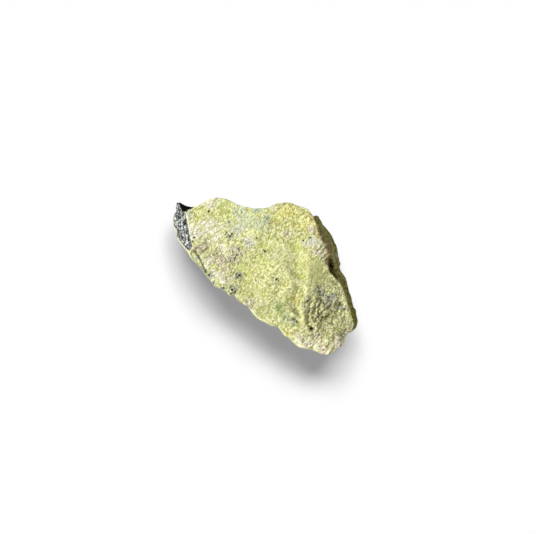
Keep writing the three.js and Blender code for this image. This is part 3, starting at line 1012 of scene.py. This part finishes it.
def serpentine_material(settings, maps):
    """Raw serpentine, broken and weathered: a dull, waxy green-yellow stone whose broken skin
    is granular, so the eye sees pale grain tops, olive gaps, chalky patches and black ore."""
    material, node = blank_material("raw_serpentine_broken")
    tree = material.node_tree
    coats = {name: [linear(code) for code in codes] for name, codes in COATS.items()}

    on_stone = node("TexCoord")["Object"]
    places = {}
    for name, turn, closeness in PLACES:
        places[name] = node("Mapping", {
            "Vector": on_stone, "Rotation": (0.0, 0.0, math.radians(turn)),
            "Scale": [share / MM for share in closeness]})[0]
    value = {}
    for name in maps:
        value[name] = node("Attribute", attribute_name=name, attribute_type="GEOMETRY")["Fac"]
    for name, size, place, detail, roughness, distortion in NOISES:
        value[name] = node("TexNoise", {
            "Vector": places[place], "Scale": 1.0 / size, "Detail": detail,
            "Roughness": roughness, "Distortion": distortion})["Fac"]
    for name, source, *limits in STEPS:
        value[name] = node("MapRange", (value[source], *limits), **SOFT)[0]
    granules = node("TexVoronoi", {"Vector": places["grain"], "Scale": 1.0 / GRANULE})
    granule_tone, granule_edge, granule_crumb = node("SeparateXYZ", (granules["Color"],))

    # The tone has painted light on what stands up and painted shade in the gaps, with the grain's own
    # flecks and granules.
    tone = node("Math", (value["height"], TONE_SWINGS["height"], 0.5), operation="MULTIPLY_ADD")[0]
    for name, pattern in (("grains", value["grains"]), ("flecks", value["flecks"]),
                          ("granules", granule_tone)):
        tone = swing(tree, pattern, TONE_SWINGS[name], tone)
    # Smooth faces show less of it.
    evened = node("Math", (tone, -CALM_DAMPING, CALM_LEVEL), operation="MULTIPLY_ADD")[0]
    evened = node("Math", (value["calm"], evened), operation="MULTIPLY")[0]
    tone = node("Math", (tone, evened), operation="ADD")[0]
    # The rough end's flakes stand out more.
    flakes = node("Math", (value["flecks"], 0.5), operation="SUBTRACT")[0]
    flakes = node("Math", (value["flaky"], flakes), operation="MULTIPLY")[0]
    tone = node("Math", (flakes, TONE_SWINGS["flakes"], tone), operation="MULTIPLY_ADD")[0]
    tone = node("MapRange", (tone, 0.0, 1.0), **SOFT)[0]

    # Tints fade into each other along ragged, granular edges.
    ragged = 0.0
    for name, pattern in (("clouds", value["clouds"]), ("patches", value["patches"]),
                          ("granules", granule_edge)):
        ragged = swing(tree, pattern, EDGE_SWINGS[name], ragged)
    colour = node("Mix", {0: tone, 6: settings.gap_colour, 7: settings.grain_colour}, **COLOURS)[2]
    for name, *codes in PALETTE:
        fringe = node("MapRange", (value[name], 0.0, TINT_FRINGE), **SOFT)[0]
        share = node("Math", (fringe, ragged, value[name]), operation="MULTIPLY_ADD")[0]
        tint = [linear(code) for code in codes]
        colour = lay_coat(tree, colour, share, tint, tone, TINT_SPAN)

    # Whitish crumbs among the grain, fewer on smooth faces.
    crumbs = swing(tree, granule_crumb, 1.0, value["patches"])
    colour = lay_coat(tree, colour, crumbs, coats["crumbs"], tone, (0.72, 1.05, 0.0, 0.55),
                      value["crumb_share"])
    # The rim under the heel is smoother and greener.
    colour = lay_coat(tree, colour, value["rim"], coats["rim"], tone)

    # The steep side is olive brown in streaks, with greener clouds and dark stains: partly its own
    # stain, partly painted shade, as it leans away from the light.
    side = node("Mix", {0: value["side_tone"], 6: coats["side"][0], 7: settings.side_colour},
                **COLOURS)[2]
    side = lay_coat(tree, side, value["clouds"], coats["side_grain"], tone, (0.5, 0.62))
    side = lay_coat(tree, side, value["stains"], coats["stain"], span=(0.54, 0.64, 0.0, 0.5))
    colour = lay_coat(tree, colour, value["steep"], [side])
    colour = lay_coat(tree, colour, value["faded"], coats["faded"], value["faded_tone"])
    # Clean, yellower stone along the crest and the brink, and rust between them and the side.
    colour = lay_coat(tree, colour, value["ridge"], coats["ridge"], tone)
    colour = lay_coat(tree, colour, value["brink"], coats["brink"], tone)
    colour = lay_coat(tree, colour, value["rust"], coats["rust"], tone, spread=value["rust_spread"])
    # The hollow has brown walls, and inside them painted shade that is nearly black.
    wall = node("Mix", {0: tone, 6: coats["hole_wall"][0], 7: coats["hole_wall"][1]}, **COLOURS)[2]
    hole = lay_coat(tree, wall, value["hole"], coats["hole"], span=(0.55, 0.95))
    hole_edge = swing(tree, value["flecks"], 0.8, value["hole"])
    colour = lay_coat(tree, colour, hole_edge, [hole], span=(0.2, 0.7))

    # Painted shade: dark gaps about half a millimetre wide between the rough end's flakes, darker along
    # the slits.
    gaps = node("Math", (value["slit"], 0.1, value["gaps"]), operation="MULTIPLY_ADD")[0]
    colour = lay_coat(tree, colour, gaps, coats["flake_gap_shade"], None, (0.54, 0.63, 0.0, 0.75),
                      value["flaky"])
    # The dark vein: black and grey ore with chalk-white specks under a millimetre across.
    vein = node("Mix", {0: value["vein_tone"], 6: settings.vein_colour, 7: coats["vein"][0]},
                **COLOURS)[2]
    vein = lay_coat(tree, vein, value["chalk_specks"], coats["chalk_specks"], span=(0.565, 0.62))
    colour = lay_coat(tree, colour, value["vein"], [vein], span=(0.35, 0.65))
    colour = lay_coat(tree, colour, value["seam"], coats["seam"], spread=value["seam_spread"])
    # Painted shade: the notch under the heel's point is painted near black, with a faint grain.
    colour = lay_coat(tree, colour, value["notch_shade"], coats["notch_shade"], tone, (0.25, 0.5))
    # Black ore grains, a few of them painted shade in the rough end's pit and under its cliff.
    ore = swing(tree, value["flecks"], 0.5, value["ore"])
    colour = lay_coat(tree, colour, ore, coats["ore"], span=(0.2, 0.85))

    # Granules just under half a millimetre across, each tilted its own way, over a fine noise.
    gap = node("VectorMath", (places["grain"], granules["Position"]), operation="SUBTRACT")[0]
    tilt = node("VectorMath", (granules["Color"], (0.5, 0.5, 0.5)), operation="SUBTRACT")[0]
    facet = node("VectorMath", (gap, tilt), operation="DOT_PRODUCT")["Value"]
    skin = node("Math", (facet, GRANULE_TILT, value["fine"]), operation="MULTIPLY_ADD")[0]
    bump = node("Bump", {"Height": skin, "Distance": BUMP_DEPTH, "Strength": value["bump_strength"]})[0]
    gloss = node("MapRange", (tone, 0.0, 1.0, GAP_ROUGHNESS, TOP_ROUGHNESS), **SOFT)[0]
    # The notch and the hollow, painted black as shade, give no gleam, and the side gives little.
    painted_shade = node("Math", (value["notch_shade"], value["hole"]), operation="MAXIMUM")[0]
    gleam = node("MapRange", (painted_shade, 0.0, 0.5, 0.5, 0.05), **SOFT)[0]
    gleam = node("Math", (gleam, value["side_gleam"]), operation="MULTIPLY")[0]
    shader = node("BsdfPrincipled", {
        "Base Color": colour, "Roughness": gloss, "Normal": bump, "IOR": STONE_IOR,
        "Specular IOR Level": gleam})[0]
    node("OutputMaterial", {"Surface": shader})
    return material


def paper_material(settings):
    """Matt white studio paper: evenly pale, with no gloss."""
    material, node = blank_material("matt_studio_paper")
    # Real paper fibre is finer; it is drawn at 0.4 mm.
    tooth = node("TexNoise", {"Vector": node("TexCoord")["Object"], "Scale": 1.0 / (0.4 * MM),
                              "Detail": 2.0})["Fac"]
    colour = node("Mix", {0: tooth, 6: linear("#f1f1f1"), 7: settings.paper_colour}, **COLOURS)[2]
    shader = node("BsdfPrincipled", {
        "Base Color": colour, "Roughness": 0.95, "IOR": 1.5, "Specular IOR Level": 0.2})[0]
    node("OutputMaterial", {"Surface": shader})
    return material


# ---------------------------------------------------------------- properties and operators

# The lights that keep their places: the side each shines from, its height and its width in degrees.
OVERHEAD = (0.0, 0.0)
KEY_SUN = ((-0.8, -0.6), 42.0, 3.0)
DOME_SUN = (OVERHEAD, 90.0, 160.0)
FILL_SUN = (OVERHEAD, 90.0, 5.0)
# The floor's own light is split in two, turned apart, to soften its shadow.
FLOOR_SIDE = (-0.6, 0.8)
FLOOR_TURNS = (-13.0, 24.0)
FLOOR_HEIGHT = 59.0
FLOOR_WIDTH = 20.0
# The sky's grey by how far up it is looked at: pale low down, dark overhead.
SKY = ((0.2, 0.85), (0.35, 0.03))
# How far under the stone's foot the floor lies, in metres, so that the two don't share a plane.
FLOOR_DROP = 0.00002
# Where the camera hangs over the floor, in metres, and the nearest and farthest that it sees.
CAMERA_PLACE = (0.00002, -0.0037)
CAMERA_CLIP = (0.01, 20.0)


class StoneSettings(bpy.types.PropertyGroup):
    """The stone's own sizes and finish."""
    grain_size: bpy.props.FloatProperty(
        name="Grain size", description="Length of the mesh's facets; smaller keeps finer relief",
        default=0.00028, min=0.0002, max=0.002, subtype="DISTANCE", unit="LENGTH", precision=5)
    relief: bpy.props.FloatProperty(
        name="Relief", description="How far the broken grain stands out of the body",
        default=1.0, min=0.1, max=2.0, subtype="FACTOR")
    grain_colour: bpy.props.FloatVectorProperty(
        name="Grain colour", description="Colour of the pale grain tops between the tints",
        default=linear("#ebecb0"), size=4, min=0.0, max=1.0, subtype="COLOR")
    gap_colour: bpy.props.FloatVectorProperty(
        name="Gap colour", description="Colour of the gaps between the pale grains",
        default=linear("#a9ab52"), size=4, min=0.0, max=1.0, subtype="COLOR")
    side_colour: bpy.props.FloatVectorProperty(
        name="Side colour", description="Colour of the light streaks on the steep side",
        default=linear("#a8a048"), size=4, min=0.0, max=1.0, subtype="COLOR")
    vein_colour: bpy.props.FloatVectorProperty(
        name="Vein colour", description="Colour of the ore in the dark vein round the heel",
        default=linear("#07080a"), size=4, min=0.0, max=1.0, subtype="COLOR")


class StageSettings(bpy.types.PropertyGroup):
    """The floor, lights and camera."""
    floor_size: bpy.props.FloatProperty(
        name="Floor size", description="Side of the square floor", default=4.0,
        subtype="DISTANCE", unit="LENGTH")
    paper_colour: bpy.props.FloatVectorProperty(
        name="Paper colour", description="Colour of the floor's paper", default=linear("#f5f5f5"),
        size=4, min=0.0, max=1.0, subtype="COLOR")
    camera_height: bpy.props.FloatProperty(
        name="Camera height", description="Height of the camera over the floor", default=0.468,
        subtype="DISTANCE", unit="LENGTH")
    camera_turn: bpy.props.FloatProperty(
        name="Camera turn", description="How far the camera is turned about its own view",
        default=math.radians(37.0), subtype="ANGLE", unit="ROTATION")
    camera_lens: bpy.props.FloatProperty(
        name="Lens", description="Focal length of the camera in millimetres", default=100.0,
        unit="CAMERA")
    key_strength: bpy.props.FloatProperty(
        name="Key light", description="Strength of the light that rakes over the stone",
        default=3.55)
    dome_strength: bpy.props.FloatProperty(
        name="Dome light", description="Strength of the soft light over the stone", default=0.9)
    floor_strength: bpy.props.FloatProperty(
        name="Floor light", description="Strength of the light that falls on the floor",
        default=2.85)
    fill_strength: bpy.props.FloatProperty(
        name="Floor fill", description="Strength of the light that thins the floor's shadow",
        default=0.78)


class SERPENTINE_OT_stone(bpy.types.Operator):
    """Carves the stone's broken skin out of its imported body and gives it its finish"""
    bl_idname = "serpentine.stone"
    bl_label = "Make stone"

    def execute(self, context):
        settings = context.scene.serpentine_stone
        piece = body_copy(context)
        apply_modifier(piece, "SUBSURF", "round facets", levels=2, render_levels=2)
        apply_modifier(piece, "REMESH", "even mesh", mode="VOXEL", voxel_size=settings.grain_size)
        press_forms(piece)
        add_relief(piece, settings)
        points = fit_girdle(read_points(piece.data))
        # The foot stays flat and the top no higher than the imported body's.
        points[:, 2] = np.maximum(points[:, 2], 0.0)
        points[:, 2] *= min(1.0, BODY_HEIGHT / points[:, 2].max())
        write_points(piece.data, points)
        maps = paint_map(piece)
        bpy.ops.object.shade_smooth()
        piece.data.materials.append(serpentine_material(settings, maps))
        piece.vertex_groups.clear()
        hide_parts(STONE_NODE)
        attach(piece, "root")
        if not piece.data.polygons:
            raise RuntimeError("the stone came out empty")
        return {"FINISHED"}


def add_sun(name, place, strength, receiver):
    """A sun from a plan direction, a height and a width in degrees, that lights one thing only."""
    side, height, width = place
    light = bpy.data.lights.new(name, "SUN")
    light.energy = strength
    light.angle = math.radians(width)
    lamp = bpy.data.objects.new(name, light)
    bpy.context.scene.collection.objects.link(lamp)
    flat = Vector((side[0], side[1], 0.0)).normalized() * math.cos(math.radians(height))
    toward = flat + Vector((0.0, 0.0, math.sin(math.radians(height))))
    lamp.rotation_euler = toward.to_track_quat("Z", "Y").to_euler()
    lamp.location = toward
    group = bpy.data.collections.new(name + "_falls_on")
    group.objects.link(receiver)
    lamp.light_linking.receiver_collection = group
    return lamp


class SERPENTINE_OT_stage(bpy.types.Operator):
    """Lays the pale floor and sets the lights and the camera"""
    bl_idname = "serpentine.stage"
    bl_label = "Make stage"

    def execute(self, context):
        settings = context.scene.serpentine_stage
        bpy.ops.object.select_all(action="DESELECT")
        bpy.ops.mesh.primitive_plane_add(size=settings.floor_size, location=(0.0, 0.0, -FLOOR_DROP))
        floor = context.active_object
        floor.name = "floor"
        bpy.ops.object.transform_apply(location=True, rotation=False, scale=False)
        floor.data.materials.append(paper_material(settings))
        floor.visible_diffuse = False

        piece = bpy.data.objects.get(PIECE)
        if piece is None:
            raise RuntimeError("make the stone before the stage")
        piece.visible_diffuse = False
        add_sun("key", KEY_SUN, settings.key_strength, piece)
        add_sun("dome", DOME_SUN, settings.dome_strength, piece)
        for turn in FLOOR_TURNS:
            side = Vector(FLOOR_SIDE) @ Matrix.Rotation(math.radians(turn), 2)
            half = settings.floor_strength / 2
            add_sun("floor_key", (side, FLOOR_HEIGHT, FLOOR_WIDTH), half, floor)
        fill = add_sun("floor_fill", FILL_SUN, settings.fill_strength, floor)
        fill.data.use_shadow = False

        world = bpy.data.worlds.new("studio")
        world.use_nodes = True
        context.scene.world = world
        world.node_tree.nodes.clear()
        node = partial(add_node, world.node_tree)
        rise = node("SeparateXYZ", (node("TexCoord")["Generated"],))["Z"]
        sky = node("ValToRGB", (rise,))[0]
        for stop, (position, grey) in zip(sky.node.color_ramp.elements, SKY):
            stop.position, stop.color = position, (grey, grey, grey, 1.0)
        node("OutputWorld", (node("Background", (sky, 1.0))[0],))

        camera_data = bpy.data.cameras.new("camera")
        camera_data.lens = settings.camera_lens
        camera_data.clip_start, camera_data.clip_end = CAMERA_CLIP
        camera = bpy.data.objects.new("camera", camera_data)
        context.scene.collection.objects.link(camera)
        camera.location = (*CAMERA_PLACE, settings.camera_height)
        camera.rotation_euler = (0.0, 0.0, settings.camera_turn)
        context.scene.camera = camera
        context.scene.view_settings.view_transform = "Standard"
        return {"FINISHED"}


class SERPENTINE_PT_panel(bpy.types.Panel):
    """The stone's tools in the sidebar"""
    bl_label = "Raw serpentine"
    bl_idname = "SERPENTINE_PT_panel"
    bl_space_type = "VIEW_3D"
    bl_region_type = "UI"
    bl_category = "Stone"

    def draw(self, context):
        for settings in (context.scene.serpentine_stone, context.scene.serpentine_stage):
            for name in settings.bl_rna.properties.keys():
                if name not in ("rna_type", "name"):
                    self.layout.prop(settings, name)
        self.layout.operator(SERPENTINE_OT_stone.bl_idname)
        self.layout.operator(SERPENTINE_OT_stage.bl_idname)


CLASSES = (StoneSettings, StageSettings, SERPENTINE_OT_stone, SERPENTINE_OT_stage,
           SERPENTINE_PT_panel)


def register():
    for made in CLASSES:
        bpy.utils.register_class(made)
    bpy.types.Scene.serpentine_stone = bpy.props.PointerProperty(type=StoneSettings)
    bpy.types.Scene.serpentine_stage = bpy.props.PointerProperty(type=StageSettings)


def unregister():
    del bpy.types.Scene.serpentine_stage
    del bpy.types.Scene.serpentine_stone
    for made in reversed(CLASSES):
        bpy.utils.unregister_class(made)


def main():
    """Makes the stone and its stage."""
    register()
    bpy.ops.serpentine.stone()
    bpy.ops.serpentine.stage()


if __name__ == "__main__":
    main()
